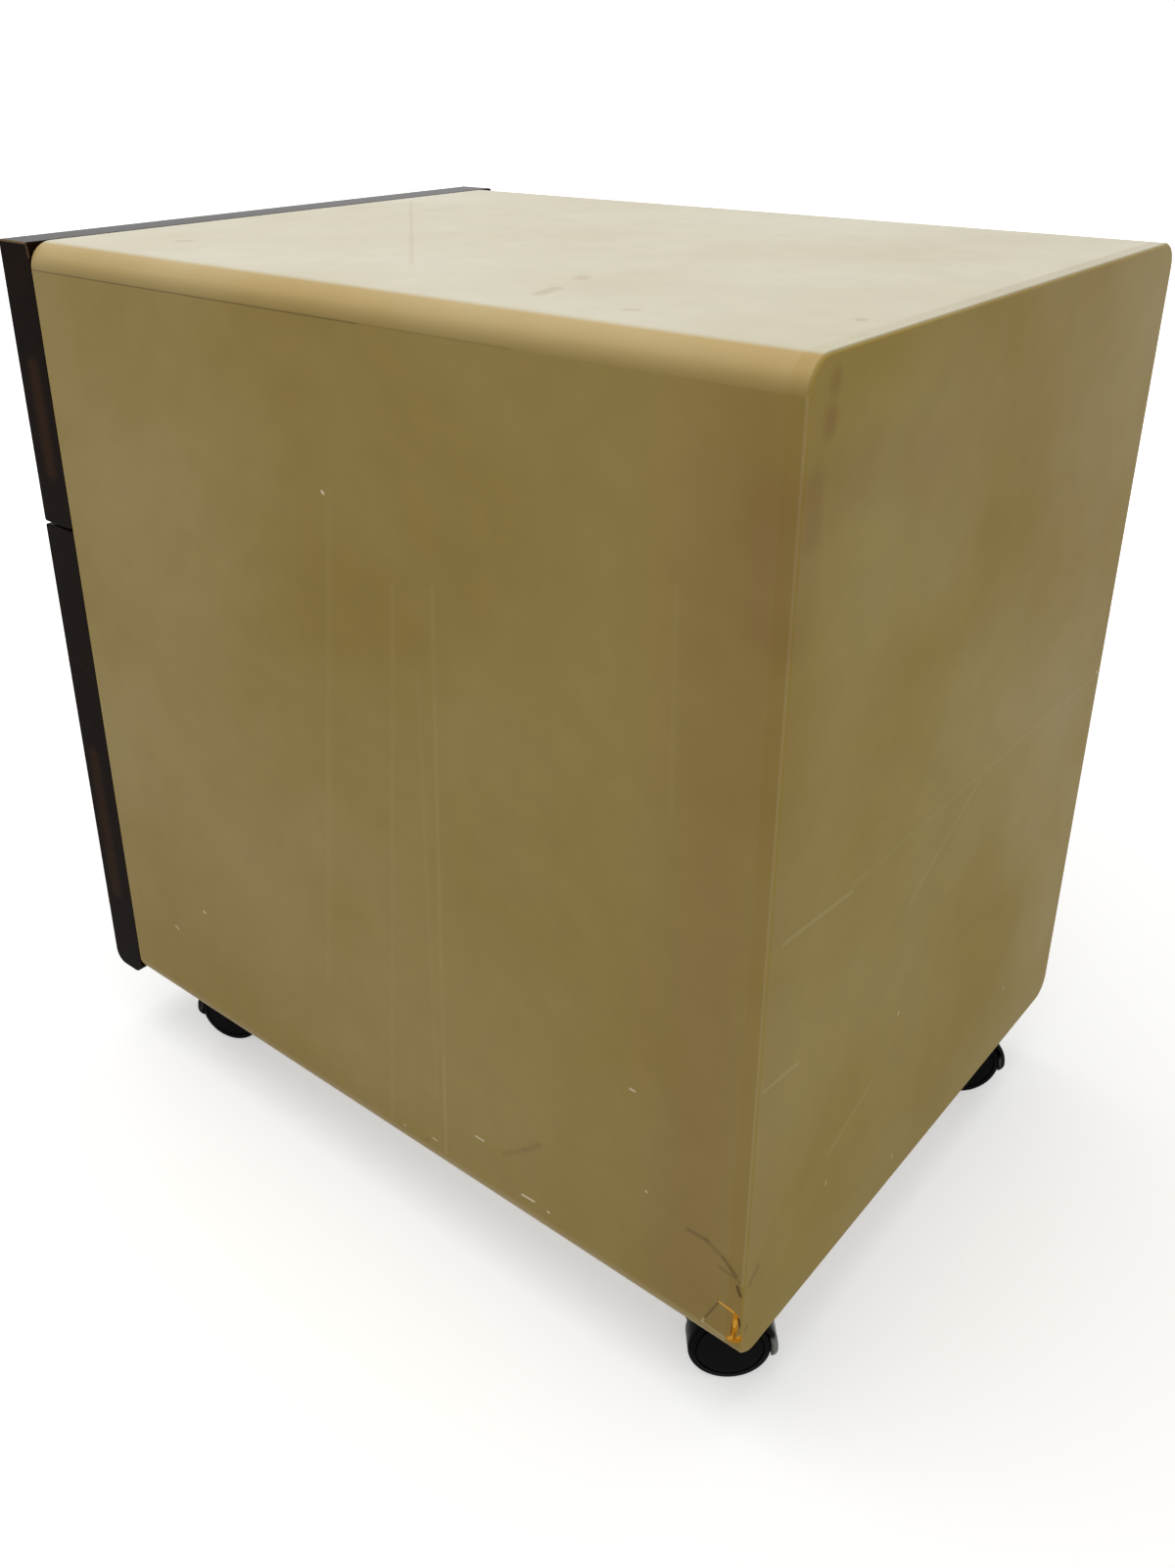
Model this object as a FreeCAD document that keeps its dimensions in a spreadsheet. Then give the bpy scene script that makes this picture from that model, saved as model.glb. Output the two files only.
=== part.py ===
import FreeCAD, Part
import math
import os
import Sketcher
from types import SimpleNamespace

# Mobile filing cabinet: a board body on four twin-wheel casters, with a box drawer above a file drawer.
# The origin is on the floor below the middle of the overall outline. The fronts face -Y, and +X is
# the right side as seen from the front. Lengths are in millimetres and angles in degrees.

# Driving dimensions
DIMENSIONS = {
    # body
    "cabinet_width": 434.0,
    "body_depth": 560.0,
    "body_height": 560.0,
    "board": 16.0,
    "edge_radius": 16.0,
    "back_thickness": 10.0,
    "back_edge_bevel": 1.5,
    "tongue_thickness": 5.0,
    "tongue_length": 7.0,
    "glue_gap": 0.1,
    # drawer fronts
    "front_thickness": 33.0,
    "closing_gap": 1.0,
    "upper_front_height": 189.0,
    "split_gap": 2.0,
    "front_drop": 1.5,
    "front_ease": 2.0,
    "toe_radius": 10.0,
    "housing_depth": 8.0,
    # finger grips in the fronts
    "grip_length": 150.0,
    "grip_height": 22.0,
    "grip_lip": 7.0,
    "grip_depth": 18.0,
    "grip_undercut": 5.0,
    "grip_from_top": 34.0,
    "grip_corner": 3.0,
    # drawer boxes
    "side_board": 12.0,
    "back_board": 12.0,
    "bottom_sheet": 5.0,
    "bottom_rise": 9.0,
    "groove_depth": 6.0,
    "upper_box_rise": 24.0,
    "upper_box_height": 120.0,
    "lower_box_rise": 20.0,
    "lower_box_height": 270.0,
    # runners
    "runner_back_gap": 47.0,
    "runner_setback": 3.0,
    "runner_space": 12.5,
    "sheet_steel": 1.2,
    "channel_height": 23.0,
    "cabinet_flange": 9.5,
    "drawer_flange": 9.7,
    "ledge_width": 9.0,
    "flange_step": 0.8,
    "channel_rise": 1.8,
    "roller_diameter": 22.0,
    "roller_width": 6.5,
    "roller_inset": 2.0,
    "roller_from_end": 14.0,
    "roller_clearance": 0.1,
    "stud_diameter": 6.0,
    "running_fit": 0.05,
    "stop_gap": 0.3,
    "stop_width": 5.0,
    "stop_height": 6.0,
    "runner_overlap": 110.0,
    # rails for hanging files
    "rail_reach": 11.5,
    "rail_thickness": 2.0,
    "rail_lip": 9.0,
    "rail_leg": 10.0,
    "rail_edge_gap": 1.0,
    # casters
    "caster_height": 60.0,
    "caster_inset_side": 55.0,
    "caster_inset_back": 31.0,
    "caster_inset_front": 38.0,
    "caster_trail": 10.0,
    "wheel_diameter": 50.0,
    "wheel_width": 17.0,
    "wheel_play": 0.3,
    "axle_diameter": 6.0,
    "axle_seat_depth": 12.0,
    "hood_gap": 1.8,
    "hood_wall": 2.3,
    "hood_width": 49.0,
    "hood_web": 13.0,
    "hood_neck": 18.0,
    "web_drop": 7.5,
    "web_rise": 20.0,
    "web_reach": 15.0,
    "hood_tip_angle": 17.0,
    "hood_mouth_angle": 50.0,
    "rear_right_turn": -50.0,
    "rear_left_turn": -46.0,
    "front_right_turn": 113.0,
    "front_left_turn": 72.0,
    "kingpin_diameter": 8.0,
    "kingpin_length": 23.0,
    "swivel_gap": 1.4,
    "bore_relief": 0.5,
    "rivet_fit": 0.02,
    "plate_size": 42.0,
    "plate_thickness": 2.5,
    "plate_corner": 5.0,
    # screw heads
    "plate_screw_spacing": 30.0,
    "screw_head_diameter": 7.0,
    "screw_head": 1.0,
    "first_runner_screw": 40.0,
    "last_runner_screw_from_end": 60.0,
    "drawer_screw_rise": 20.0,
}

# Finger joints at the back corners of each drawer box
UPPER_FINGERS = 6
LOWER_FINGERS = 10

# Sides of the plain pins and of the screw heads
PIN_SIDES = 12
HEAD_SIDES = 6

os.makedirs("parts", exist_ok=True)
doc = FreeCAD.newDocument("filing_cabinet")


# The sheet of driving dimensions
def fill_sheet(dimensions):
    sheet = doc.addObject("Spreadsheet::Sheet", "Sizes")
    for row, (alias, value) in enumerate(dimensions.items(), start=1):
        sheet.set(f"A{row}", alias)
        sheet.set(f"B{row}", str(value))
        sheet.setAlias(f"B{row}", alias)
    doc.recompute()
    return sheet


# A length worked out from the sheet: the formula that the document keeps, and its number for a first guess
class Formula:
    def __init__(self, text, number):
        self.text = text
        self.number = number

    def __add__(self, other):
        other = formula(other)
        return Formula(f"({self.text} + {other.text})", self.number + other.number)

    def __radd__(self, other):
        return formula(other) + self

    def __sub__(self, other):
        other = formula(other)
        return Formula(f"({self.text} - {other.text})", self.number - other.number)

    def __rsub__(self, other):
        return formula(other) - self

    def __mul__(self, other):
        other = formula(other)
        return Formula(f"({self.text} * {other.text})", self.number * other.number)

    def __rmul__(self, other):
        return formula(other) * self

    def __truediv__(self, other):
        other = formula(other)
        return Formula(f"({self.text} / {other.text})", self.number / other.number)

    def __neg__(self):
        return formula(0) - self


def formula(value):
    return value if isinstance(value, Formula) else Formula(f"({value})", float(value))


fill_sheet(DIMENSIONS)
dim = SimpleNamespace(**{alias: Formula(f"Sizes.{alias}", value) for alias, value in DIMENSIONS.items()})

# Levels and stations that many pieces share
half_width = dim.cabinet_width / 2
back_y = (dim.body_depth + dim.closing_gap + dim.front_thickness) / 2
body_front_y = back_y - dim.body_depth
front_back_y = body_front_y - dim.closing_gap
body_bottom_z = dim.caster_height
body_top_z = body_bottom_z + dim.body_height
inside_width = dim.cabinet_width - 2 * dim.board
panel_length = dim.body_depth - dim.back_thickness
split_top_z = body_top_z - dim.upper_front_height
split_bottom_z = split_top_z - dim.split_gap
lower_front_bottom_z = body_bottom_z - dim.front_drop
lower_front_height = split_bottom_z - lower_front_bottom_z
box_width = inside_width - 2 * dim.runner_space
runner_front_y = body_front_y + dim.runner_setback
runner_length = panel_length - dim.runner_setback - dim.runner_back_gap
runner_screw_stations = (dim.first_runner_screw, runner_length - dim.last_runner_screw_from_end)
drawer_travel = runner_length - dim.runner_overlap
box_back_y = runner_front_y + runner_length
side_front_y = front_back_y - dim.housing_depth
side_length = box_back_y - side_front_y
upper_box_z = split_bottom_z + dim.upper_box_rise
lower_box_z = body_bottom_z + dim.board + dim.lower_box_rise
wheel_radius = dim.wheel_diameter / 2
axle_radius = dim.axle_diameter / 2
plate_bottom_z = dim.caster_height - dim.plate_thickness
boss_top_z = plate_bottom_z - dim.swivel_gap

# Heights in the runners: above the channel's floor, and above the drawer box's bottom edge
roller_radius = dim.roller_diameter / 2
rear_roller_rise = dim.roller_clearance + roller_radius
flange_height = dim.channel_height + dim.sheet_steel + dim.flange_step
front_roller_rise = flange_height - dim.roller_clearance - roller_radius
drawer_flange_rise = dim.channel_rise + flange_height

finished = {}


def keep(item, name):
    item.Label = name
    finished[name] = item
    return item


def bind(item, path, value):
    item.setExpression(path, formula(value).text)


def place(item, x=0, y=0, z=0, turn=None):
    for axis, value in zip("xyz", (x, y, z)):
        bind(item, f"Placement.Base.{axis}", value)
    if turn is not None:
        bind(item, "Placement.Rotation.Angle", turn)
    return item


# Board work: boxes and cylinders, cut and joined
def box(name, size, corner=(0, 0, 0)):
    item = doc.addObject("Part::Box", name)
    for path, value in zip(("Length", "Width", "Height"), size):
        bind(item, path, value)
    return place(item, *corner)


def gather(name, pieces):
    item = doc.addObject("Part::MultiFuse", name)
    item.Shapes = pieces
    return item


def cut(name, base, tools):
    item = doc.addObject("Part::Cut", name)
    item.Base = base
    item.Tool = tools[0] if len(tools) == 1 else gather(f"{name}_tools", tools)
    return item


AXIS_TURNS = {
    "x": FreeCAD.Rotation(FreeCAD.Vector(0, 1, 0), 90),
    "y": FreeCAD.Rotation(FreeCAD.Vector(1, 0, 0), -90),
    "z": FreeCAD.Rotation(),
}


def cylinder(name, radius, length, start, axis, sector=360):
    item = doc.addObject("Part::Cylinder", name)
    item.Placement = FreeCAD.Placement(FreeCAD.Vector(), AXIS_TURNS[axis])
    bind(item, "Radius", radius)
    bind(item, "Height", length)
    bind(item, "Angle", sector)
    return place(item, *start)


# Part design work: bodies made from sketches
def new_body(name):
    return doc.addObject("PartDesign::Body", name)


def new_sketch(body, name, role, offset=(0, 0, 0)):
    sketch = body.newObject("Sketcher::SketchObject", name)
    plane = next(item for item in body.Origin.OriginFeatures if item.Role == role)
    sketch.AttachmentSupport = (plane, [""])
    sketch.MapMode = "FlatFace"
    for axis, value in zip("xyz", offset):
        bind(sketch, f"AttachmentOffset.Base.{axis}", value)
    return sketch


def hold(sketch, kind, name, elements, value):
    value = formula(value)
    index = sketch.addConstraint(Sketcher.Constraint(kind, *elements, value.number))
    sketch.renameConstraint(index, name)
    bind(sketch, f"Constraints.{name}", value)


def polygon(sketch, points):
    first = sketch.GeometryCount
    corners = [(formula(x), formula(y)) for x, y in points]
    ends = corners[1:] + corners[:1]
    for (x, y), (next_x, next_y) in zip(corners, ends):
        start = FreeCAD.Vector(x.number, y.number, 0)
        end = FreeCAD.Vector(next_x.number, next_y.number, 0)
        sketch.addGeometry(Part.LineSegment(start, end), False)
    for step in range(len(corners)):
        line = first + step
        following = first + (step + 1) % len(corners)
        sketch.addConstraint(Sketcher.Constraint("Coincident", line, 2, following, 1))
    for step, (x, y) in enumerate(corners):
        line = first + step
        hold(sketch, "DistanceX", f"x{line}", (-1, 1, line, 1), x)
        hold(sketch, "DistanceY", f"y{line}", (-1, 1, line, 1), y)


def circle(sketch, radius, x=0, y=0):
    radius = formula(radius)
    x = formula(x)
    y = formula(y)
    centre = FreeCAD.Vector(x.number, y.number, 0)
    index = sketch.addGeometry(Part.Circle(centre, FreeCAD.Vector(0, 0, 1), radius.number), False)
    hold(sketch, "Radius", f"r{index}", (index,), radius)
    hold(sketch, "DistanceX", f"x{index}", (-1, 1, index, 3), x)
    hold(sketch, "DistanceY", f"y{index}", (-1, 1, index, 3), y)


def many_sided(sketch, sides, corner_radius, x=0, y=0):
    corners = []
    for corner in range(sides):
        angle = math.tau * corner / sides
        corners.append((x + corner_radius * math.cos(angle), y + corner_radius * math.sin(angle)))
    polygon(sketch, corners)


def rectangle(sketch, width, height, x=0, y=0):
    polygon(sketch, [(x, y), (x + width, y), (x + width, y + height), (x, y + height)])


def pad(body, sketch, length, both_ways=False, backwards=False):
    feature = body.newObject("PartDesign::Pad", f"{sketch.Name}_pad")
    feature.Profile = sketch
    feature.SideType = "Symmetric" if both_ways else "One side"
    feature.Reversed = backwards
    bind(feature, "Length", length)
    return feature


def pocket(body, sketch, length, both_ways=False, backwards=False):
    feature = body.newObject("PartDesign::Pocket", f"{sketch.Name}_pocket")
    feature.Profile = sketch
    feature.SideType = "Symmetric" if both_ways else "One side"
    feature.Reversed = backwards
    bind(feature, "Length", length)
    doc.recompute()
    before = feature.BaseFeature.Shape.Volume
    if feature.Shape.Volume >= before - 1e-6:
        raise RuntimeError(f"{feature.Name} removes nothing")
    return feature


def revolve(body, sketch, axis, angle=360, back_angle=None):
    feature = body.newObject("PartDesign::Revolution", f"{sketch.Name}_revolution")
    feature.Profile = sketch
    feature.ReferenceAxis = (sketch, [axis])
    bind(feature, "Angle", angle)
    if back_angle is not None:
        feature.Type = "TwoAngles"
        bind(feature, "Angle2", back_angle)
    return feature


# Rounds or bevels the edges of the body's last feature that pass the test
def dress(body, kind, name, size, chosen):
    doc.recompute()
    base = body.Tip
    names = [f"Edge{index}" for index, edge in enumerate(base.Shape.Edges, start=1) if chosen(edge)]
    feature = body.newObject(f"PartDesign::{kind}", name)
    feature.Base = (base, names)
    bind(feature, "Radius" if kind == "Fillet" else "Size", size)
    return feature


def runs_along(edge, axis):
    if edge.Degenerated or not isinstance(edge.Curve, Part.Line):
        return False
    return abs(abs(edge.Curve.Direction.dot(axis)) - 1) < 1e-6


ALONG_X = FreeCAD.Vector(1, 0, 0)
ALONG_Y = FreeCAD.Vector(0, 1, 0)
ALONG_Z = FreeCAD.Vector(0, 0, 1)
EDGE_NEAR = 1e-4


def along_x_at(edge, z):
    return runs_along(edge, ALONG_X) and abs(edge.BoundBox.ZMax - z) < EDGE_NEAR


# Body: four grooved panels, four quarter-round edge profiles tongued into them, and a back over their ends
def flat_panel(name, z):
    slot = dim.tongue_thickness + 2 * dim.glue_gap
    depth = dim.tongue_length + dim.glue_gap
    width = dim.cabinet_width - 2 * dim.edge_radius
    board = box(f"{name}_board", (width, panel_length, dim.board))
    low = (dim.board - slot) / 2
    left = box(f"{name}_left_groove", (depth, panel_length, slot), (0, 0, low))
    right = box(f"{name}_right_groove", (depth, panel_length, slot), (width - depth, 0, low))
    panel = cut(name, board, [left, right])
    place(panel, -width / 2, body_front_y, z)
    return keep(panel, name)


def upright_panel(name, x):
    slot = dim.tongue_thickness + 2 * dim.glue_gap
    depth = dim.tongue_length + dim.glue_gap
    height = dim.body_height - 2 * dim.edge_radius
    board = box(f"{name}_board", (dim.board, panel_length, height))
    side = (dim.board - slot) / 2
    foot = box(f"{name}_foot_groove", (slot, panel_length, depth), (side, 0, 0))
    head = box(f"{name}_head_groove", (slot, panel_length, depth), (side, 0, height - depth))
    panel = cut(name, board, [foot, head])
    place(panel, x, body_front_y, body_bottom_z + dim.edge_radius)
    return keep(panel, name)


# The profile is drawn for the bottom right edge, with its centre on the inner corner, then turned about Y
def edge_profile(name, x, z, turn):
    inset = dim.edge_radius - dim.board / 2
    reach = dim.tongue_length + inset / 2
    half_tongue = dim.tongue_thickness / 2
    round_part = cylinder(f"{name}_round", dim.edge_radius, panel_length, (0, 0, 0), "y", 90)
    across = box(
        f"{name}_across",
        (reach, panel_length, dim.tongue_thickness),
        (-dim.tongue_length, 0, -inset - half_tongue),
    )
    upward = box(
        f"{name}_upward",
        (dim.tongue_thickness, panel_length, reach),
        (inset - half_tongue, 0, -inset / 2),
    )
    profile = gather(name, [round_part, across, upward])
    profile.Placement = FreeCAD.Placement(FreeCAD.Vector(), FreeCAD.Rotation(ALONG_Y, turn))
    place(profile, x, body_front_y, z)
    return keep(profile, name)


def back_panel():
    name = "back_panel"
    body = new_body(name)
    outline = new_sketch(body, "back_outline", "XZ_Plane")
    rectangle(outline, dim.cabinet_width, dim.body_height, -half_width)
    pad(body, outline, dim.back_thickness)
    dress(body, "Fillet", "back_corners", dim.edge_radius, lambda edge: runs_along(edge, ALONG_Y))
    dress(body, "Chamfer", "back_rim", dim.back_edge_bevel, lambda edge: edge.BoundBox.YMin > -EDGE_NEAR)
    place(body, 0, back_y, body_bottom_z)
    return keep(body, name)


# Drawer fronts: solid dark wood, with a finger groove in the face and housings for the drawer box behind.
# Drawn with the back face on y = 0 and the bottom edge on z = 0.
def drawer_front(name, height, bottom_z, box_z, box_height, toe):
    body = new_body(name)
    outline = new_sketch(body, f"{name}_outline", "YZ_Plane")
    rectangle(outline, dim.front_thickness, height, -dim.front_thickness)
    pad(body, outline, dim.cabinet_width, both_ways=True)
    foot_radius = dim.toe_radius if toe else dim.front_ease
    dress(body, "Fillet", f"{name}_foot", foot_radius, lambda edge: along_x_at(edge, 0))
    dress(body, "Fillet", f"{name}_top", dim.front_ease, lambda edge: along_x_at(edge, height.number))
    grip_bottom = height - dim.grip_from_top - dim.grip_height / 2
    grip = new_sketch(body, f"{name}_grip", "XZ_Plane", (0, 0, dim.front_thickness))
    rectangle(grip, dim.grip_length, dim.grip_height, -dim.grip_length / 2, grip_bottom)
    pocket(body, grip, dim.grip_depth)
    dress(
        body,
        "Fillet",
        f"{name}_grip_ends",
        dim.grip_corner,
        lambda edge: runs_along(edge, ALONG_Y) and abs(edge.BoundBox.XMax) < dim.grip_length.number,
    )
    # the undercut behind the lip, for the fingertips
    undercut = new_sketch(body, f"{name}_undercut", "XZ_Plane", (0, 0, dim.front_thickness - dim.grip_lip))
    undercut_length = dim.grip_length - 2 * dim.grip_corner
    undercut_bottom = grip_bottom + dim.grip_height / 2
    undercut_height = dim.grip_height / 2 + dim.grip_undercut
    rectangle(undercut, undercut_length, undercut_height, -undercut_length / 2, undercut_bottom)
    pocket(body, undercut, dim.grip_depth - dim.grip_lip)
    half_box = box_width / 2 + dim.glue_gap
    slot = dim.side_board + 2 * dim.glue_gap
    rise = box_z - bottom_z
    housings = new_sketch(body, f"{name}_housings", "XZ_Plane")
    rectangle(housings, slot, box_height, -half_box, rise)
    rectangle(housings, slot, box_height, half_box - slot, rise)
    pocket(body, housings, dim.housing_depth, backwards=True)
    sheet_groove = new_sketch(body, f"{name}_sheet_groove", "XZ_Plane")
    sheet_slot = dim.bottom_sheet + 2 * dim.glue_gap
    sheet_z = rise + dim.bottom_rise - dim.glue_gap
    rectangle(sheet_groove, 2 * half_box, sheet_slot, -half_box, sheet_z)
    pocket(body, sheet_groove, dim.groove_depth, backwards=True)
    place(body, 0, front_back_y, bottom_z)
    return keep(body, name)


# Drawer boxes: boards finger-jointed at the back, housed in the front, with a sheet held in grooves all round
def finger_slots(name, corner, size, height, count, parity):
    step = height / count
    slots = []
    for number in range(parity, count, 2):
        start = (corner[0], corner[1], step * number)
        slots.append(box(f"{name}_slot_{number}", (size[0], size[1], step), start))
    return slots


def drawer_side(name, left, z, height, fingers):
    side = box(f"{name}_board", (dim.side_board, side_length, height))
    slot = dim.bottom_sheet + 2 * dim.glue_gap
    groove_x = dim.side_board - dim.groove_depth if left else formula(0)
    groove_length = side_length - dim.back_board + dim.groove_depth
    groove_cut = box(
        f"{name}_groove",
        (dim.groove_depth, groove_length, slot),
        (groove_x, 0, dim.bottom_rise - dim.glue_gap),
    )
    corner = (0, side_length - dim.back_board)
    slots = finger_slots(name, corner, (dim.side_board, dim.back_board), height, fingers, 1)
    item = cut(name, side, [groove_cut, *slots])
    x = -box_width / 2 if left else box_width / 2 - dim.side_board
    place(item, x, side_front_y, z)
    return keep(item, name)


def drawer_back(name, z, height, fingers):
    board = box(f"{name}_board", (box_width, dim.back_board, height))
    slot = dim.bottom_sheet + 2 * dim.glue_gap
    groove_cut = box(
        f"{name}_groove",
        (box_width - 2 * dim.side_board, dim.groove_depth, slot),
        (dim.side_board, 0, dim.bottom_rise - dim.glue_gap),
    )
    joint = (dim.side_board, dim.back_board)
    left = finger_slots(f"{name}_left", (0, 0), joint, height, fingers, 0)
    right = finger_slots(f"{name}_right", (box_width - dim.side_board, 0), joint, height, fingers, 0)
    item = cut(name, board, [groove_cut, *left, *right])
    place(item, -box_width / 2, box_back_y - dim.back_board, z)
    return keep(item, name)


def drawer_bottom(name, z):
    overlap = dim.groove_depth - dim.glue_gap
    width = box_width - 2 * dim.side_board + 2 * overlap
    front_y = front_back_y - overlap
    length = box_back_y - dim.back_board + overlap - front_y
    sheet = box(name, (width, length, dim.bottom_sheet), (-width / 2, front_y, z + dim.bottom_rise))
    return keep(sheet, name)


# Runners: roll-formed steel members with a riveted stud for a roller at one end of each. The studs have twelve
# sides with their corners on the full diameter, and the screw heads are part of the steel that they hold.
# Both are drawn with the face that is screwed on at x = 0 and their front end at y = 0.
# Hand is 1 where the member reaches towards +X and -1 where it reaches towards -X.
def stud(body, name, hand, y, z):
    outline = new_sketch(body, f"{name}_stud", "YZ_Plane")
    many_sided(outline, PIN_SIDES, dim.stud_diameter / 2, y, z)
    pad(body, outline, dim.roller_inset + dim.roller_width, backwards=hand < 0)


def screw_heads(body, name, hand, z):
    heads = new_sketch(body, f"{name}_screw_heads", "YZ_Plane")
    for y in runner_screw_stations:
        many_sided(heads, HEAD_SIDES, dim.screw_head_diameter / 2, y, z)
    pad(body, heads, dim.sheet_steel + dim.screw_head, backwards=hand < 0)


def cabinet_runner(name, hand, x, z):
    steel = dim.sheet_steel
    flange = dim.cabinet_flange
    top = dim.channel_height
    body = new_body(name)
    section = new_sketch(body, f"{name}_section", "XZ_Plane")
    corners = [(0, -steel), (flange, -steel), (flange, 0), (steel, 0)]
    corners += [(steel, top), (flange, top), (flange, top + steel), (0, top + steel)]
    polygon(section, [(hand * across, up) for across, up in corners])
    pad(body, section, runner_length, backwards=True)
    # the top flange stops short of the front roller, which stands a little above it
    notch = new_sketch(body, f"{name}_notch", "XY_Plane", (0, 0, top + steel))
    notch_length = 2 * dim.roller_from_end
    rectangle(notch, hand * (flange - steel), notch_length, hand * steel)
    pocket(body, notch, steel)
    # stops that the drawer's roller meets when the drawer is shut and when it is fully out
    roller_y = runner_length - dim.roller_from_end
    reach = roller_radius + dim.stop_gap
    shut_stop_y = roller_y + reach
    open_stop_y = roller_y - drawer_travel - reach - steel
    for stop_name, stop_y in (("shut_stop", shut_stop_y), ("open_stop", open_stop_y)):
        stop = new_sketch(body, f"{name}_{stop_name}", "XZ_Plane", (0, 0, -stop_y))
        stop_z = rear_roller_rise - dim.stop_height / 2
        rectangle(stop, hand * (steel / 2 + dim.stop_width), dim.stop_height, hand * steel / 2, stop_z)
        pad(body, stop, steel, backwards=True)
    stud(body, name, hand, dim.roller_from_end, front_roller_rise)
    screw_heads(body, name, hand, dim.channel_height / 2)
    place(body, x, runner_front_y, z)
    return keep(body, name)


def drawer_runner(name, hand, x, z):
    steel = dim.sheet_steel
    flange = dim.drawer_flange
    ledge = dim.ledge_width
    body = new_body(name)
    section = new_sketch(body, f"{name}_section", "XZ_Plane")
    corners = [(-ledge, -steel), (steel, -steel), (steel, drawer_flange_rise), (flange, drawer_flange_rise)]
    corners += [(flange, drawer_flange_rise + steel), (0, drawer_flange_rise + steel), (0, 0), (-ledge, 0)]
    polygon(section, [(hand * across, up) for across, up in corners])
    pad(body, section, runner_length, backwards=True)
    stud(body, name, hand, runner_length - dim.roller_from_end, dim.channel_rise + rear_roller_rise)
    screw_heads(body, name, hand, dim.drawer_screw_rise)
    place(body, x, runner_front_y, z)
    return keep(body, name)


def roller_pair(name, left_x, right_x, y, z):
    pieces = []
    for side, x in (("left", left_x), ("right", right_x)):
        start = (x, y, z)
        disc = cylinder(f"{name}_{side}_disc", roller_radius, dim.roller_width, start, "x")
        bore = cylinder(
            f"{name}_{side}_bore",
            dim.stud_diameter / 2 + dim.running_fit,
            dim.roller_width,
            start,
            "x",
        )
        pieces.append(cut(f"{name}_{side}", disc, [bore]))
    return keep(gather(name, pieces), name)


# Rails over the drawer's sides that hanging files hook onto
def file_rail(name, hand):
    thick = dim.rail_thickness
    inner = box_width / 2 - dim.side_board
    lip_x = inner - dim.rail_reach
    outer = box_width / 2 - dim.rail_edge_gap
    body = new_body(name)
    section = new_sketch(body, f"{name}_section", "XZ_Plane")
    corners = [(lip_x, 0), (inner - thick, 0), (inner - thick, -dim.rail_leg), (inner, -dim.rail_leg)]
    corners += [(inner, 0), (outer, 0), (outer, thick), (lip_x + thick, thick)]
    corners += [(lip_x + thick, thick + dim.rail_lip), (lip_x, thick + dim.rail_lip)]
    polygon(section, [(hand * across, up) for across, up in corners])
    start_y = front_back_y + dim.rail_edge_gap
    pad(body, section, box_back_y - dim.back_board - start_y, backwards=True)
    place(body, 0, start_y, lower_box_z + dim.lower_box_height)
    return keep(body, name)


# Casters: a plate under the bottom panel with its screw heads, a kingpin riveted under it, and a moulded
# hood that swivels on the pin. Kingpins and axles have twelve sides with their corners on the full diameter.
# Hood, axle and wheels are drawn with the swivel axis on the local Z, and the wheels trailing towards +X.
def caster_plate(name, x, y):
    body = new_body(name)
    outline = new_sketch(body, f"{name}_outline", "XY_Plane")
    rectangle(outline, dim.plate_size, dim.plate_size, -dim.plate_size / 2, -dim.plate_size / 2)
    pad(body, outline, dim.plate_thickness)
    dress(body, "Chamfer", f"{name}_corners", dim.plate_corner, lambda edge: runs_along(edge, ALONG_Z))
    screw_offset = dim.plate_screw_spacing / 2
    heads = new_sketch(body, f"{name}_screw_heads", "XY_Plane")
    for head_x in (-screw_offset, screw_offset):
        for head_y in (-screw_offset, screw_offset):
            many_sided(heads, HEAD_SIDES, dim.screw_head_diameter / 2, head_x, head_y)
    pad(body, heads, dim.screw_head, backwards=True)
    place(body, x, y, plate_bottom_z)
    return keep(body, name)


def kingpins(name, spots):
    pins = []
    for number, (x, y) in enumerate(spots):
        pin = doc.addObject("Part::Prism", f"{name}_{number}")
        pin.Polygon = PIN_SIDES
        bind(pin, "Circumradius", dim.kingpin_diameter / 2)
        bind(pin, "Height", dim.kingpin_length)
        pins.append(place(pin, x, y, plate_bottom_z - dim.kingpin_length))
    return keep(gather(name, pins), name)


def caster_hood(name, x, y, turn):
    inner = wheel_radius + dim.hood_gap
    outer = inner + dim.hood_wall
    half_hood = dim.hood_width / 2
    body = new_body(name)
    # fender over the wheels, turned about the axle
    section = new_sketch(body, f"{name}_section", "XY_Plane", (dim.caster_trail, 0, wheel_radius))
    rectangle(section, -dim.hood_wall, 2 * half_hood, -inner, -half_hood)
    revolve(body, section, "V_Axis", 180 - dim.hood_mouth_angle, dim.hood_tip_angle)
    # web between the wheels that the axle goes through, and the neck that the kingpin goes up into
    half_neck = dim.hood_neck / 2
    web = new_sketch(body, f"{name}_web", "XZ_Plane")
    web_length = half_neck + dim.caster_trail + dim.web_reach
    rectangle(web, web_length, dim.web_drop + dim.web_rise, -half_neck, wheel_radius - dim.web_drop)
    pad(body, web, dim.hood_web, both_ways=True)
    neck = new_sketch(body, f"{name}_neck", "XZ_Plane")
    rectangle(neck, dim.hood_neck, boss_top_z - wheel_radius, -half_neck, wheel_radius)
    pad(body, neck, dim.hood_web, both_ways=True)
    bore = new_sketch(body, f"{name}_bore", "XY_Plane", (0, 0, boss_top_z))
    circle(bore, dim.kingpin_diameter / 2 + dim.running_fit)
    pin_bottom_z = plate_bottom_z - dim.kingpin_length
    pocket(body, bore, boss_top_z - pin_bottom_z + dim.bore_relief)
    axle_hole = new_sketch(body, f"{name}_axle_hole", "XZ_Plane", (dim.caster_trail, wheel_radius, 0))
    circle(axle_hole, axle_radius + dim.rivet_fit)
    pocket(body, axle_hole, dim.hood_web, both_ways=True)
    place(body, x, y, 0, turn)
    return keep(body, name)


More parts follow.
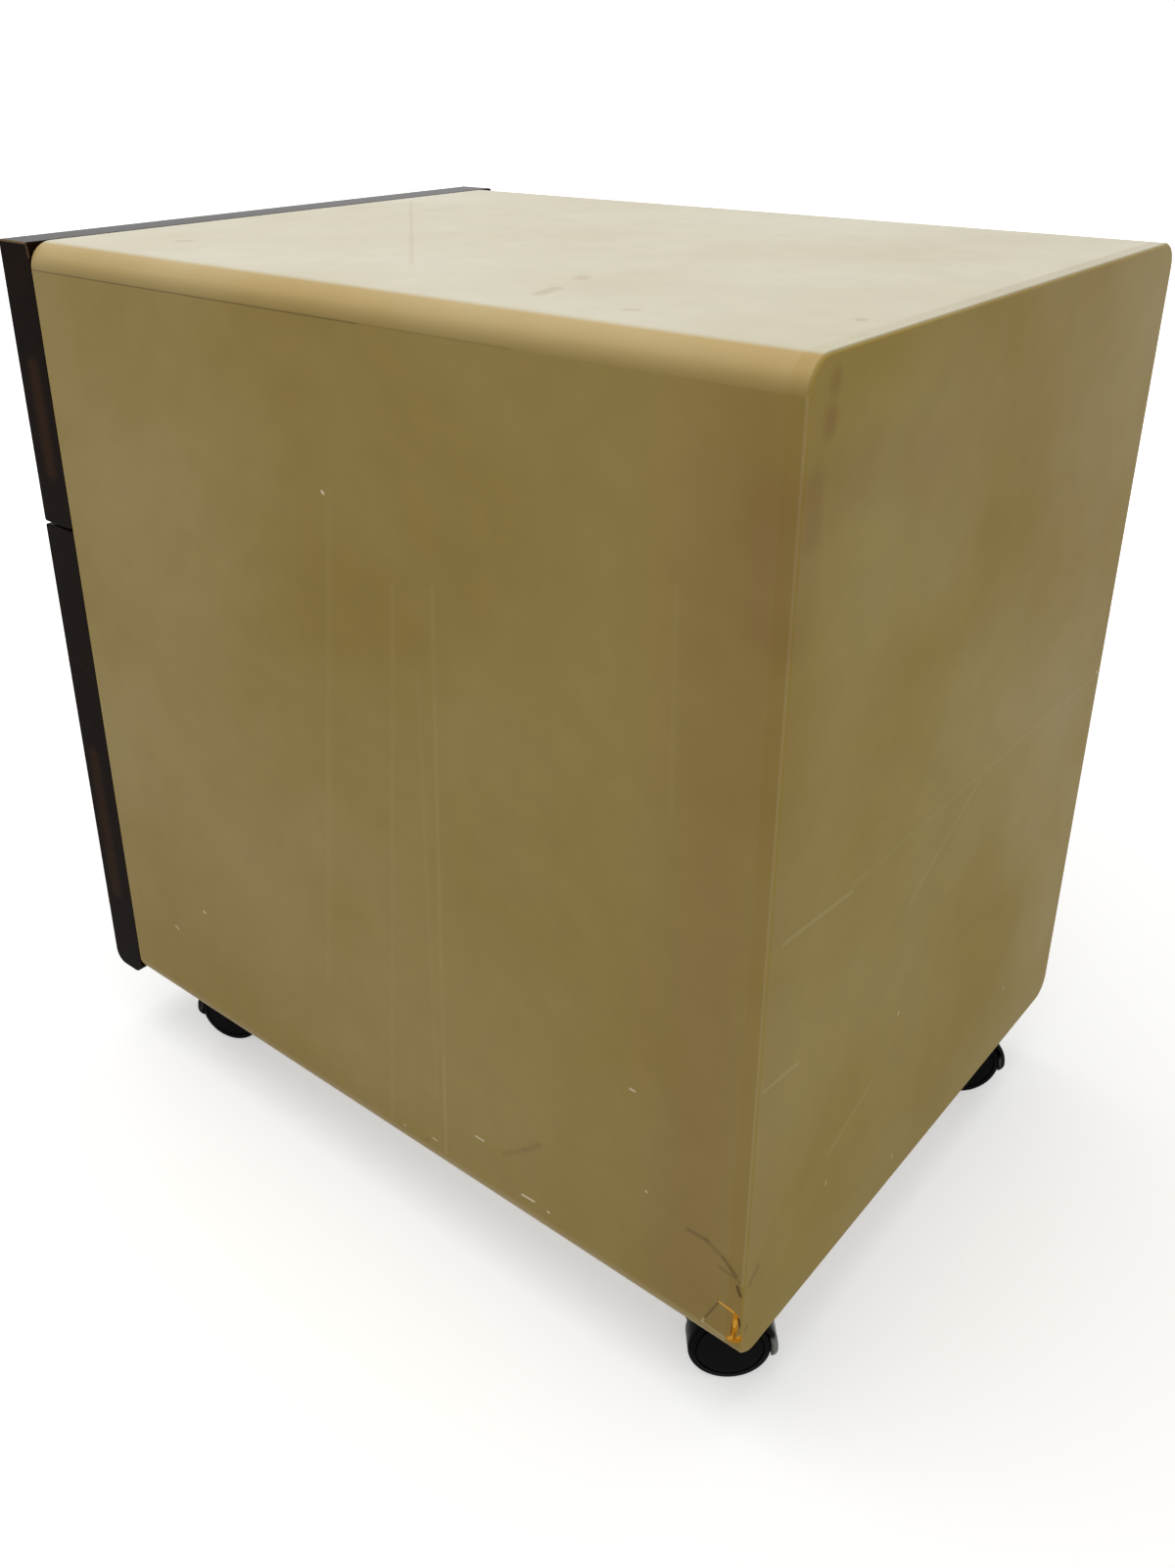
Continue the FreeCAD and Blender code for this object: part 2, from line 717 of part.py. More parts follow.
def caster_axle(name, x, y, turn):
    seat = dim.wheel_play + dim.axle_seat_depth - dim.bore_relief
    body = new_body(name)
    outline = new_sketch(body, f"{name}_outline", "XZ_Plane", (dim.caster_trail, wheel_radius, 0))
    many_sided(outline, PIN_SIDES, axle_radius)
    pad(body, outline, dim.hood_web + 2 * seat, both_ways=True)
    place(body, x, y, 0, turn)
    return keep(body, name)


# A moulded wheel with a blind bore from its inner face
def caster_wheel(name, hand, x, y, turn):
    inner_face = dim.hood_web / 2 + dim.wheel_play
    outer_face = inner_face + dim.wheel_width
    bore = axle_radius + dim.running_fit
    seat_end = inner_face + dim.axle_seat_depth
    body = new_body(name)
    section = new_sketch(body, f"{name}_section", "XY_Plane", (dim.caster_trail, 0, wheel_radius))
    corners = [(bore, inner_face), (wheel_radius, inner_face), (wheel_radius, outer_face)]
    corners += [(0, outer_face), (0, seat_end), (bore, seat_end)]
    polygon(section, [(radius, hand * along) for radius, along in corners])
    revolve(body, section, "V_Axis")
    place(body, x, y, 0, turn)
    return keep(body, name)


# Casters, by corner
side_x = half_width - dim.caster_inset_side
rear_y = back_y - dim.caster_inset_back
front_y = body_front_y + dim.caster_inset_front
casters = {
    "rear_right": (side_x, rear_y, dim.rear_right_turn),
    "rear_left": (-side_x, rear_y, dim.rear_left_turn),
    "front_right": (side_x, front_y, dim.front_right_turn),
    "front_left": (-side_x, front_y, dim.front_left_turn),
}

# Body panels
corner_x = half_width - dim.edge_radius
flat_panel("top_panel", body_top_z - dim.board)
flat_panel("bottom_panel", body_bottom_z)
upright_panel("left_side_panel", -half_width)
upright_panel("right_side_panel", half_width - dim.board)
# For each drawer: the height of its box's bottom edge, the box's height, and the fingers at its back corners
boxes = {
    "upper": (upper_box_z, dim.upper_box_height, UPPER_FINGERS),
    "lower": (lower_box_z, dim.lower_box_height, LOWER_FINGERS),
}
back_panel()
top_corner_z = body_top_z - dim.edge_radius
bottom_corner_z = body_bottom_z + dim.edge_radius
edge_profile("bottom_right_edge", corner_x, bottom_corner_z, 0)
edge_profile("bottom_left_edge", -corner_x, bottom_corner_z, 90)
edge_profile("top_left_edge", -corner_x, top_corner_z, 180)
edge_profile("top_right_edge", corner_x, top_corner_z, -90)

# Drawers, with their runners and rollers
drawer_front("upper_front", dim.upper_front_height, split_top_z, upper_box_z, dim.upper_box_height, False)
drawer_front("lower_front", lower_front_height, lower_front_bottom_z, lower_box_z, dim.lower_box_height, True)

for level, (box_z, box_height, fingers) in boxes.items():
    for side, way in (("left", -1), ("right", 1)):
        side_x = way * box_width / 2
        panel_x = way * inside_width / 2
        drawer_side(f"{level}_{side}_side", way < 0, box_z, box_height, fingers)
        cabinet_runner(f"{level}_{side}_cabinet_runner", -way, panel_x, box_z + dim.channel_rise)
        drawer_runner(f"{level}_{side}_drawer_runner", way, side_x, box_z)
    drawer_back(f"{level}_back", box_z, box_height, fingers)
    drawer_bottom(f"{level}_bottom", box_z)
    near = inside_width / 2 - dim.roller_inset
    front_rollers_y = runner_front_y + dim.roller_from_end
    front_rollers_z = box_z + dim.channel_rise + front_roller_rise
    roller_pair(f"{level}_front_rollers", -near, near - dim.roller_width, front_rollers_y, front_rollers_z)
    far = box_width / 2 + dim.roller_inset
    rear_rollers_y = box_back_y - dim.roller_from_end
    rear_rollers_z = box_z + dim.channel_rise + rear_roller_rise
    roller_pair(f"{level}_rear_rollers", -far - dim.roller_width, far, rear_rollers_y, rear_rollers_z)
file_rail("left_file_rail", -1)
file_rail("right_file_rail", 1)

# Casters
for corner, (x, y, turn) in casters.items():
    caster_plate(f"{corner}_plate", x, y)
    caster_hood(f"{corner}_hood", x, y, turn)
    caster_axle(f"{corner}_axle", x, y, turn)
    caster_wheel(f"{corner}_first_wheel", -1, x, y, turn)
    caster_wheel(f"{corner}_second_wheel", 1, x, y, turn)
kingpins("caster_kingpins", [(x, y) for x, y, turn in casters.values()])

# Nothing is written unless every object is sound
doc.recompute()
for item in doc.Objects:
    if "Invalid" in item.State or "Error" in item.State:
        raise RuntimeError(f"{item.Name} could not be built")
for name, item in finished.items():
    if item.Shape.isNull() or not item.Shape.isValid():
        raise RuntimeError(f"{name} has no sound shape")

for name, item in finished.items():
    item.Shape.exportStep(f"parts/{name}.step")
print(len(finished), "pieces written")
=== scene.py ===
import bpy
import math
from mathutils import Matrix, Quaternion, Vector


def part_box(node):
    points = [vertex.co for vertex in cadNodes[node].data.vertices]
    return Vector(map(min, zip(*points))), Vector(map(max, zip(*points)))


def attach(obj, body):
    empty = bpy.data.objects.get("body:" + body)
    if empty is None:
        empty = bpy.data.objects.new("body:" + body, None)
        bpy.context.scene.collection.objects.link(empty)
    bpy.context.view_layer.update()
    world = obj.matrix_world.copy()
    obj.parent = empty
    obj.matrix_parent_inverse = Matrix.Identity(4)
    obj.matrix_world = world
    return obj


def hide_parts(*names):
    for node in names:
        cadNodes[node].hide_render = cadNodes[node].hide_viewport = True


# An office pedestal on casters: cream lacquered body, dark stained drawer fronts.
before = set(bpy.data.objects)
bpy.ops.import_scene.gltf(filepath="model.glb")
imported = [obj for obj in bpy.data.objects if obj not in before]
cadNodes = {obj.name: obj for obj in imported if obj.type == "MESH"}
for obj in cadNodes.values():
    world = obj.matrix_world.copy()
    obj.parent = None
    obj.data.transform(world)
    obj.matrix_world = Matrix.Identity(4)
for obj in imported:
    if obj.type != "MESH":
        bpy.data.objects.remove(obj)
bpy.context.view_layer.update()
print("frame loaded:", len(cadNodes), "CAD pieces")


def hexToLinear(hexCode):
    channels = [int(hexCode[i:i + 2], 16) / 255 for i in (1, 3, 5)]
    return (*[c / 12.92 if c < 0.04045 else ((c + 0.055) / 1.055) ** 2.4 for c in channels], 1.0)


# inputs holds numbers, or sockets of other nodes to link from
def addNode(tree, nodeType, inputs, **settings):
    node = tree.nodes.new(nodeType)
    for setting, value in settings.items():
        setattr(node, setting, value)
    for name, value in inputs.items():
        if isinstance(value, bpy.types.NodeSocket):
            tree.links.new(value, node.inputs[name])
        else:
            node.inputs[name].default_value = value
    return node


def newMaterial(name, roughness, metallic=0.0):
    material = bpy.data.materials.new(name)
    material.use_nodes = True
    tree = material.node_tree
    shader = tree.nodes["Principled BSDF"]
    shader.inputs["Roughness"].default_value = roughness
    shader.inputs["Metallic"].default_value = metallic
    place = addNode(tree, "ShaderNodeTexCoord", {}).outputs["Object"]
    return material, tree, shader, place


# passes from one colour to another while a value goes from the first bound to the second
def blendColours(tree, value, bounds, before, after, most=1.0):
    share = addNode(
        tree,
        "ShaderNodeMapRange",
        {"Value": value, "From Min": bounds[0], "From Max": bounds[1], "To Max": most},
    )
    mixed = addNode(
        tree,
        "ShaderNodeMix",
        {0: share.outputs[0], 6: before, 7: after},
        data_type="RGBA",
    )
    return mixed.outputs[2]


def finishNodes(material, *nodeNames):
    for nodeName in nodeNames:
        cadNodes[nodeName].data.materials.clear()
        cadNodes[nodeName].data.materials.append(material)


# the photograph was taken from behind, to the right and above, close to the cabinet
cameraView = {
    "place": (0.6929, 0.5629, 0.7314),
    "forward": (-0.69339, -0.58643, -0.41871),
    "rollDegrees": -0.436,
    "lensMm": 31.54,
    "shiftX": 0.02627,
    "shiftY": -0.06865,
    "clipStart": 0.02,
}
camera = bpy.data.objects.new("photoCamera", bpy.data.cameras.new("photoCamera"))
bpy.context.scene.collection.objects.link(camera)
camera.location = cameraView["place"]
camera.rotation_mode = "QUATERNION"
aim = Vector(cameraView["forward"]).to_track_quat("-Z", "Y")
camera.rotation_quaternion = aim @ Quaternion((0, 0, 1), math.radians(cameraView["rollDegrees"]))
camera.data.lens = cameraView["lensMm"]
camera.data.shift_x = cameraView["shiftX"]
camera.data.shift_y = cameraView["shiftY"]
camera.data.clip_start = cameraView["clipStart"]
bpy.context.scene.camera = camera

# a white studio: even sky, one big soft lamp overhead, a weak one by the camera
studio = {
    "floorHex": "#E4E4E2",
    "floorRoughness": 0.85,
    "floorGlow": 0.5,           # lifts the floor towards white for the camera only
    "floorReach": 12.0,
    "glowStarts": 0.6,
    "glowFull": 1.9,
    "skyStrength": 0.42,
    "topLampWatts": 31.0,
    "topLampSize": 2.6,
    "topLampPlace": (0.4, -0.3, 2.6),
    "topLampTarget": (0, 0, 0.6),
    "sideLampWatts": 4.0,
    "sideLampSize": 1.6,
    "sideLampPlace": (2.2, 1.9, 1.2),
    "sideLampTarget": (0, 0, 0.3),
}
bpy.context.scene.view_settings.view_transform = "Standard"


# 1 where the camera, a mirror or glass looks straight at the surface
def seenDirectly(tree):
    rays = addNode(tree, "ShaderNodeLightPath", {}).outputs
    mirrored = addNode(
        tree,
        "ShaderNodeMath",
        {0: rays["Is Glossy Ray"], 1: rays["Is Transmission Ray"]},
        operation="MAXIMUM",
    )
    direct = addNode(
        tree,
        "ShaderNodeMath",
        {0: rays["Is Camera Ray"], 1: mirrored.outputs[0]},
        operation="MAXIMUM",
    )
    return direct.outputs[0]


world = bpy.data.worlds.new("studioSky")
world.use_nodes = True
bpy.context.scene.world = world
skyTree = world.node_tree
skyLevel = addNode(
    skyTree,
    "ShaderNodeMapRange",
    {"Value": seenDirectly(skyTree), "To Min": studio["skyStrength"], "To Max": 1.0},
)
sky = skyTree.nodes["Background"]
sky.inputs["Color"].default_value = (1, 1, 1, 1)
skyTree.links.new(skyLevel.outputs[0], sky.inputs["Strength"])

reach = studio["floorReach"]
floorCorners = [(-reach, -reach, 0), (reach, -reach, 0), (reach, reach, 0), (-reach, reach, 0)]
floorMesh = bpy.data.meshes.new("floor")
floorMesh.from_pydata(floorCorners, [], [(0, 1, 2, 3)])
floor = bpy.data.objects.new("floor", floorMesh)
bpy.context.scene.collection.objects.link(floor)
# matt white painted floor that fades into the white of the sky, so no horizon shows
floorPaint, floorTree, floorShader, floorPlace = newMaterial("mattWhiteFloorPaint", studio["floorRoughness"])
floorShader.inputs["Base Color"].default_value = hexToLinear(studio["floorHex"])
floorShader.inputs["Emission Color"].default_value = (1, 1, 1, 1)
awayFromCabinet = addNode(floorTree, "ShaderNodeVectorMath", {0: floorPlace}, operation="LENGTH")
glowLevel = addNode(
    floorTree,
    "ShaderNodeMapRange",
    {
        "Value": awayFromCabinet.outputs[1],
        "From Min": studio["glowStarts"],
        "From Max": studio["glowFull"],
        "To Min": studio["floorGlow"],
        "To Max": 1.0,
    },
    interpolation_type="SMOOTHSTEP",
)
floorGlow = addNode(
    floorTree,
    "ShaderNodeMath",
    {0: glowLevel.outputs[0], 1: seenDirectly(floorTree)},
    operation="MULTIPLY",
)
floorTree.links.new(floorGlow.outputs[0], floorShader.inputs["Emission Strength"])
floorMesh.materials.append(floorPaint)

for lampName in ("topLamp", "sideLamp"):
    lampData = bpy.data.lights.new(lampName, "AREA")
    lampData.shape = "DISK"
    lampData.size = studio[lampName + "Size"]
    lampData.energy = studio[lampName + "Watts"]
    lamp = bpy.data.objects.new(lampName, lampData)
    bpy.context.scene.collection.objects.link(lamp)
    lamp.location = studio[lampName + "Place"]
    lampAim = Vector(studio[lampName + "Target"]) - Vector(studio[lampName + "Place"])
    lamp.rotation_mode = "QUATERNION"
    lamp.rotation_quaternion = lampAim.to_track_quat("-Z", "Y")
print("camera and studio set")

# Wear that is painted over the finishes, by kind, together with some painted highlights and a painted
# reflection.
markHexes = {
    "pale": "#CDBB90",
    "speck": "#F0E4C4",
    "scuff": "#5E4A2E",
    "stain": "#A88A5C",
    "rub": "#7E5230",
    # greyed paints the reflection and scuffing on the rear right hood's top
    "greyed": "#93958F",
    "bareWood": "#CE8612",
    # the paler bare wood colour below is a painted highlight on the split wood
    "bareWoodPale": "#F2B444",
    "crack": "#3A2A16",
}


# paints each mark over the colour: a soft line between two points, with all its sizes in mm
def paintMarks(tree, place, colour, marks):
    for kind, start, end, width, softness, strength in marks:
        begin = Vector(start) / 1000
        along = Vector(end) / 1000 - begin
        fromStart = addNode(tree, "ShaderNodeVectorMath", {0: place, 1: begin}, operation="SUBTRACT")
        reached = addNode(
            tree,
            "ShaderNodeVectorMath",
            {0: fromStart.outputs[0], 1: along},
            operation="DOT_PRODUCT",
        )
        share = addNode(
            tree,
            "ShaderNodeMath",
            {0: reached.outputs[1], 1: 1 / along.length_squared},
            operation="MULTIPLY",
            use_clamp=True,
        )
        foot = addNode(tree, "ShaderNodeVectorMath", {0: along, 3: share.outputs[0]}, operation="SCALE")
        offset = addNode(
            tree,
            "ShaderNodeVectorMath",
            {0: fromStart.outputs[0], 1: foot.outputs[0]},
            operation="SUBTRACT",
        )
        distance = addNode(tree, "ShaderNodeVectorMath", {0: offset.outputs[0]}, operation="LENGTH")
        mask = addNode(
            tree,
            "ShaderNodeMapRange",
            {
                "Value": distance.outputs[1],
                "From Min": width / 2000,
                "From Max": (width / 2 + softness) / 1000,
                "To Min": strength,
                "To Max": 0.0,
            },
            interpolation_type="SMOOTHSTEP",
        )
        painted = addNode(
            tree,
            "ShaderNodeMix",
            {0: mask.outputs[0], 6: colour, 7: hexToLinear(markHexes[kind])},
            data_type="RGBA",
        )
        colour = painted.outputs[2]
    return colour


# places marks drawn in the plane of a face: the face stands across the axis, at the level in mm
def onFace(axis, level, marks):
    placed = []
    for kind, start, end, *shape in marks:
        ends = [(*point[:axis], level, *point[axis:]) for point in (start, end)]
        placed.append((kind, *ends, *shape))
    return placed


# kind, start, end, width, softness and strength of each mark, here as (y, z) on the right side
sideMarks = onFace(0, 217, [
    ("pale", (6, 511), (-32, 165), 1.0, 4.0, 0.05),
    ("pale", (52, 465), (20, 52), 0.8, 3.0, 0.055),
    ("pale", (68, 420), (66, 120), 0.6, 2.2, 0.05),
    ("pale", (82, 472), (74, 157), 0.8, 2.0, 0.08),
    ("pale", (74, 157), (72.4, 78), 1.0, 1.6, 0.15),
    ("pale", (237, 510), (238, 394), 0.8, 2.4, 0.06),
    # a painted highlight: the pale line down the rounded back corner where it catches the light
    ("pale", (296.2, 604), (296.2, 120), 0.8, 0.9, 0.3),
    ("speck", (0, 509), (1.5, 508), 0.7, 0.8, 0.9),
    ("speck", (-167, 161), (-165, 160), 0.8, 0.8, 0.6),
    ("speck", (-206, 131), (-203, 129), 0.7, 0.8, 0.6),
    ("speck", (218, 213.1), (221.2, 213.1), 0.6, 0.8, 0.65),
    ("speck", (99.3, 108.3), (106.4, 108.5), 0.4, 0.8, 0.7),
    ("speck", (137.7, 84.1), (147.4, 84.7), 0.7, 0.7, 0.9),
    ("speck", (158.4, 83.5), (159.2, 83.4), 0.8, 0.7, 0.8),
    ("speck", (230.6, 146.8), (231.2, 146.6), 0.7, 0.7, 0.65),
    ("speck", (60.7, 83.5), (63.9, 83.3), 0.4, 0.8, 0.5),
    ("speck", (34, 78.9), (34.8, 78.7), 0.5, 0.7, 0.5),
    ("scuff", (122.5, 107.9), (140.8, 122.3), 0.5, 2.6, 0.2),
    ("scuff", (140.8, 122.3), (152.7, 133.8), 0.5, 2.6, 0.22),
    ("scuff", (39.7, 60.5), (57, 80.4), 0.5, 2.4, 0.2),
    ("scuff", (259.9, 137.4), (271.8, 137.9), 0.9, 2.0, 0.42),
    ("scuff", (271.8, 137.9), (283.7, 132.1), 0.9, 2.2, 0.36),
    ("scuff", (283.7, 132.1), (291.7, 125.2), 1.0, 2.0, 0.42),
    ("scuff", (280.9, 124.3), (289.9, 123.1), 0.8, 1.8, 0.32),
    ("scuff", (285.6, 129.8), (293.5, 121.7), 0.6, 1.6, 0.3),
    ("crack", (293, 117.9), (294.9, 112.5), 1.0, 1.2, 0.7),
    ("rub", (266, 570), (262, 90), 8, 55, 0.2),
    ("rub", (284, 556), (286, 500), 6, 22, 0.2),
])
# the corner that was knocked: bare wood in a split, with cracks round the loose chip, and painted highlights
# where the split wood catches the light
cornerMarks = onFace(0, 217, [
    ("crack", (282, 98.6), (273.7, 80.3), 0.3, 0.9, 0.5),
    ("pale", (272.6, 78.5), (271.8, 75.8), 0.6, 1.0, 0.5),
    ("pale", (271.8, 75.8), (288, 73.6), 0.4, 0.9, 0.4),
    ("bareWood", (286.8, 98.4), (292.2, 97.2), 1.2, 0.7, 1.0),
    ("bareWood", (293.6, 95.5), (292.2, 80.5), 3.0, 0.9, 1.0),
    ("bareWood", (290, 75.8), (296.5, 79.8), 3.2, 1.1, 1.0),
    ("bareWoodPale", (282.2, 98.7), (291.6, 97.6), 0.6, 0.6, 1.0),
    ("bareWoodPale", (293.4, 92.4), (292.6, 87.5), 1.2, 1.0, 0.85),
    ("bareWoodPale", (289.6, 75.6), (291.6, 78.4), 0.6, 0.8, 0.8),
    ("bareWoodPale", (295.6, 80.4), (296.9, 83.6), 0.7, 0.7, 0.8),
    ("crack", (295, 95.2), (296.8, 86.8), 0.7, 0.6, 0.9),
    ("crack", (291.2, 88.6), (290.9, 80.5), 0.3, 0.5, 0.75),
    ("crack", (293.6, 83.4), (293.2, 77.6), 0.3, 0.5, 0.6),
])
# the wood edge shows its glue line where the lacquer has sunk
glueLine = onFace(0, 217, [
    ("crack", (-262, 603.5), (36, 603.7), 0.3, 0.6, 0.45),
    ("crack", (36, 603.7), (140, 603.8), 0.2, 0.6, 0.18),
])
# as (x, z) on the back
backMarks = onFace(1, 297, [
    ("pale", (203, 337), (135, 332), 0.8, 1.8, 0.26),
    ("pale", (136, 336), (-230, 332), 0.6, 2.4, 0.08),
    ("pale", (212, 252), (178, 248), 0.8, 1.6, 0.26),
    ("pale", (132, 151), (83, 171), 0.8, 1.6, 0.2),
    ("pale", (60, 285), (-20, 330), 0.8, 3.0, 0.12),
    ("speck", (56, 206), (57, 205), 0.6, 0.8, 0.6),
    ("speck", (-124, 118), (-123, 117), 0.7, 0.8, 0.6),
    ("speck", (38, 81), (39, 80), 0.7, 0.8, 0.6),
    ("speck", (130, 130), (131, 128), 0.5, 0.6, 0.6),
    ("speck", (-209, 335), (-211, 334), 0.8, 0.8, 0.7),
    ("rub", (197.8, 592.9), (198.6, 589), 1.5, 8, 0.36),
    ("rub", (196.3, 608.6), (196.8, 606), 1.2, 7, 0.34),
    ("rub", (207.6, 566.3), (206, 545), 2.5, 12, 0.24),
    ("rub", (184, 559), (160, 566), 6, 26, 0.16),
    ("rub", (120, 558), (96, 552), 6, 30, 0.14),
    ("rub", (-40, 590), (-216, 430), 60, 190, 0.12),
    ("scuff", (210.7, 118.1), (203.5, 124.3), 0.8, 3.4, 0.32),
    ("crack", (212.5, 83.6), (210.5, 85.6), 0.5, 1.2, 0.5),
])
# as (x, y) on the top
topMarks = onFace(2, 620, [
    ("stain", (-105, -247), (137, -3), 0.8, 2.0, 0.18),
    ("stain", (169, 117), (150, 112), 2, 5, 0.35),
    ("stain", (120, 104), (112, 99), 2, 6, 0.3),
    ("stain", (154, -192), (150, -188), 1.5, 4, 0.4),
    ("stain", (177, 177), (175, 180), 1.5, 4, 0.35),
    ("stain", (-96, 93), (-98, 95), 1.0, 3, 0.3),
    ("stain", (136, 274), (133, 273), 1.5, 4, 0.35),
])

# Sprayed polyurethane lacquer on board: satin, a little orange peel in the gloss, yellowed unevenly
# with age, with rub marks, streaks and specks. Each face's tone has its light painted in: the top painted
# lit and pale, the sides and back painted in shade; the rounded wood edges are a little yellower as well.
lacquer = {
    # each face's pair is one lacquer with the light it gets painted in: pale where the top is lit, dark
    # where the sides and back are in shade
    "topAgedAndLitHexes": ("#D5CEB5", "#D1C9AF"),         # where it has yellowed least and most
    "sideAgedAndLitHexes": ("#A28B51", "#998143"),
    "backAgedAndLitHexes": ("#AC9551", "#A68D44"),
    "edgeAgedAndLitHexes": ("#C4AC76", "#BCA066"),
    # between these heights the side's painted shade brightens through the edge's tone into the top's painted
    # light, by height alone
    "edgeBoundsMm": (603.4, 613),               # heights between which a side passes into an edge
    "topBoundsMm": (618.8, 619.8),
    "backBoundsMm": (295.5, 296.6),
    "cloudMm": 170,
    "yellowing": (0.36, 0.64),
    "mottleMm": 22,
    "mottleBounds": (0.3, 0.7),
    "mottleShades": (0.965, 1.03),
    "edgeRun": 0.05,            # how much slower the mottle changes along a wood edge
    "gritEveryMm": 19,
    "gritBounds": (0.03, 0.012),
    "gritStrength": 0.5,
    "peelMm": 2.6,
    "peelStrength": 0.35,
    "peelDepthMm": 0.04,
    "ior": 1.48,
    "topSpecular": 0.25,
    "edgeSpecular": 0.2,
    "sideSpecular": 0.12,
    "backSpecular": 0.05,
    "roughness": 0.34,
    "dulledRoughness": 0.5,
    "dulling": (0.3, 0.7),
    "nearBackY": 250,
}


# the tone goes by place, so that it runs on over the seams: side, rounded top edge, top, back; these tones
# hold painted light and shade, the top painted lit and the side and back painted in shade
def creamLacquer(name, specular, marks=(), run=1.0):
    material, tree, shader, place = newMaterial(name, lacquer["roughness"])
    shader.inputs["IOR"].default_value = lacquer["ior"]
    shader.inputs["Specular IOR Level"].default_value = specular
    clouds = addNode(
        tree,
        "ShaderNodeTexNoise",
        {"Vector": place, "Scale": 1000 / lacquer["cloudMm"], "Detail": 3.0},
    ).outputs[0]
    agedAndLitTones = {}
    for face in ("side", "edge", "top", "back"):
        fresh, aged = [hexToLinear(hexCode) for hexCode in lacquer[face + "AgedAndLitHexes"]]
        agedAndLitTones[face] = blendColours(tree, clouds, lacquer["yellowing"], fresh, aged)
    axes = addNode(tree, "ShaderNodeSeparateXYZ", {"Vector": place}).outputs
    colour = agedAndLitTones["side"]
    for axis, face in (("Z", "edge"), ("Z", "top"), ("Y", "back")):
        bounds = [mm / 1000 for mm in lacquer[face + "BoundsMm"]]
        colour = blendColours(tree, axes[axis], bounds, colour, agedAndLitTones[face])
    drawnOut = addNode(tree, "ShaderNodeVectorMath", {0: place, 1: (1, run, 1)}, operation="MULTIPLY")
    mottle = addNode(
        tree,
        "ShaderNodeTexNoise",
        {
            "Vector": drawnOut.outputs[0],
            "Scale": 1000 / lacquer["mottleMm"],
            "Detail": 4.0,
            "Roughness": 0.6,
        },
    )
    shade = addNode(
        tree,
        "ShaderNodeMapRange",
        {
            "Value": mottle.outputs[0],
            "From Min": lacquer["mottleBounds"][0],
            "From Max": lacquer["mottleBounds"][1],
            "To Min": lacquer["mottleShades"][0],
            "To Max": lacquer["mottleShades"][1],
        },
    )
    mottled = addNode(
        tree,
        "ShaderNodeMix",
        {0: 1.0, 6: colour, 7: shade.outputs[0]},
        data_type="RGBA",
        blend_type="MULTIPLY",
    )
    grit = addNode(
        tree,
        "ShaderNodeTexVoronoi",
        {"Vector": place, "Scale": 1000 / lacquer["gritEveryMm"]},
    )
    colour = blendColours(
        tree,
        grit.outputs["Distance"],
        lacquer["gritBounds"],
        mottled.outputs[2],
        hexToLinear(markHexes["stain"]),
        lacquer["gritStrength"],
    )
    colour = paintMarks(tree, place, colour, marks)
    tree.links.new(colour, shader.inputs["Base Color"])
    dulled = addNode(
        tree,
        "ShaderNodeMapRange",
        {
            "Value": clouds,
            "From Min": lacquer["dulling"][0],
            "From Max": lacquer["dulling"][1],
            "To Min": lacquer["roughness"],
            "To Max": lacquer["dulledRoughness"],
        },
    )
    tree.links.new(dulled.outputs[0], shader.inputs["Roughness"])
    peel = addNode(
        tree,
        "ShaderNodeTexNoise",
        {"Vector": place, "Scale": 1000 / lacquer["peelMm"], "Detail": 1.0},
    )
    relief = addNode(
        tree,
        "ShaderNodeBump",
        {
            "Height": peel.outputs[0],
            "Strength": lacquer["peelStrength"],
            "Distance": lacquer["peelDepthMm"] / 1000,
        },
    )
    tree.links.new(relief.outputs[0], shader.inputs["Normal"])
    return material


# the back panel's own edge shows on the right side too, with the marks that lie near the corner
nearBack = [mark for mark in sideMarks if max(mark[1][1], mark[2][1]) > lacquer["nearBackY"]]
topLacquer = creamLacquer("sprayedLacquerTop", lacquer["topSpecular"], topMarks)
sideLacquer = creamLacquer(
    "sprayedLacquerMarkedSide",
    lacquer["sideSpecular"],
    sideMarks + cornerMarks + glueLine,
)
backLacquer = creamLacquer(
    "sprayedLacquerBack",
    lacquer["backSpecular"],
    nearBack + cornerMarks + backMarks,
)
nearEdgeLacquer = creamLacquer(
    "sprayedLacquerOnWoodEdge",
    lacquer["edgeSpecular"],
    glueLine + cornerMarks,
    lacquer["edgeRun"],
)
farEdgeLacquer = creamLacquer(
    "sprayedLacquerOnFarEdge",
    lacquer["edgeSpecular"],
    run=lacquer["edgeRun"],
)
plainLacquer = creamLacquer("sprayedLacquerPlain", lacquer["sideSpecular"])
finishNodes(topLacquer, "top_panel")
finishNodes(sideLacquer, "right_side_panel")
finishNodes(backLacquer, "back_panel")
finishNodes(nearEdgeLacquer, "top_right_edge", "bottom_right_edge")
finishNodes(farEdgeLacquer, "top_left_edge", "bottom_left_edge")
finishNodes(plainLacquer, "left_side_panel", "bottom_panel")
print("body lacquered")

# Hardwood stained nearly black brown under a thin clear lacquer: the grain only just shows, and the
# lacquer shines where it is seen along its surface.
stain = {
    "darkHex": "#0C0704",
    "grainHex": "#25160C",
    "rubbedHex": "#38210F",
    "grainMm": 1.8,
    "grainRun": 0.035,          # how much slower the grain changes along the board than across it
    "grainBounds": (0.38, 0.72),
    "patchesPerMetre": 14.0,
    "patchBounds": (0.58, 0.78),
    "patchMost": 0.25,
    "poreStrength": 0.4,
    "poreDepthMm": 0.08,
    "ior": 1.45,
    "specular": 0.01,
    "roughness": 0.18,
}
